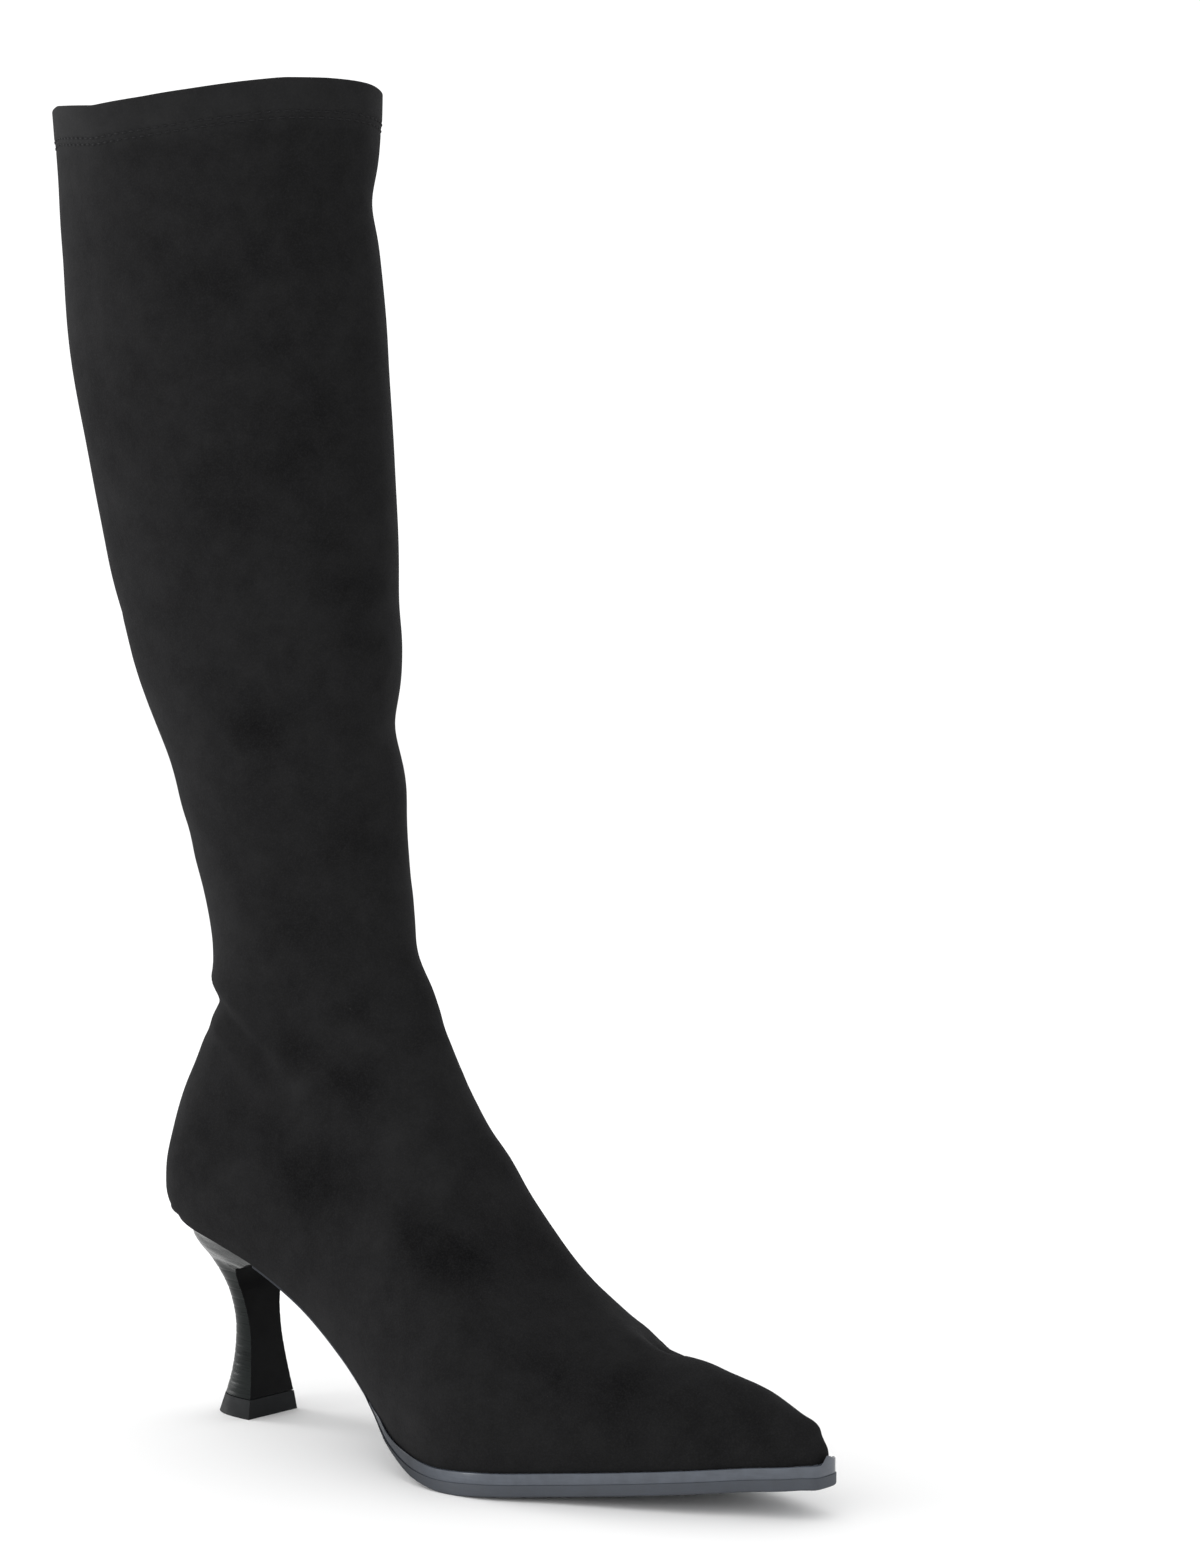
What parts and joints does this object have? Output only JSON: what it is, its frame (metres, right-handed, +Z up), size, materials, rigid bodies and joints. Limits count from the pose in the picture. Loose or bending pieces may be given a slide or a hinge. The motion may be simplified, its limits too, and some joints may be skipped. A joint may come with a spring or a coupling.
{
  "type": "knee-high boot",
  "caption": "Right boot in black stretch faux suede with a plain knee-high shaft, a pointed toe, a two-layer sole edge and a flared spool heel.",
  "frame": {"origin": "middle of the heel top piece's underside, on the floor", "axes": "+X towards the toe, +Y towards the inner side of the foot, +Z up the shaft"},
  "size_m": [0.2863, 0.0971, 0.431],
  "materials": {
    "suede": "brushed black nap, matt with a faint sheen at the edges",
    "lining": "plain tan knit",
    "insole": "smooth tan sock",
    "welt": "polished blue-black",
    "outsole": "matt blue-black",
    "heel": "satin black with the lines of stacked layers",
    "top_piece": "matt black"
  },
  "bodies": {
    "root": {"upper": "suede", "insole": "insole", "welt": "welt", "outsole": "outsole", "heel": "heel", "heel_top_piece": "top_piece"}
  },
  "joints": []
}
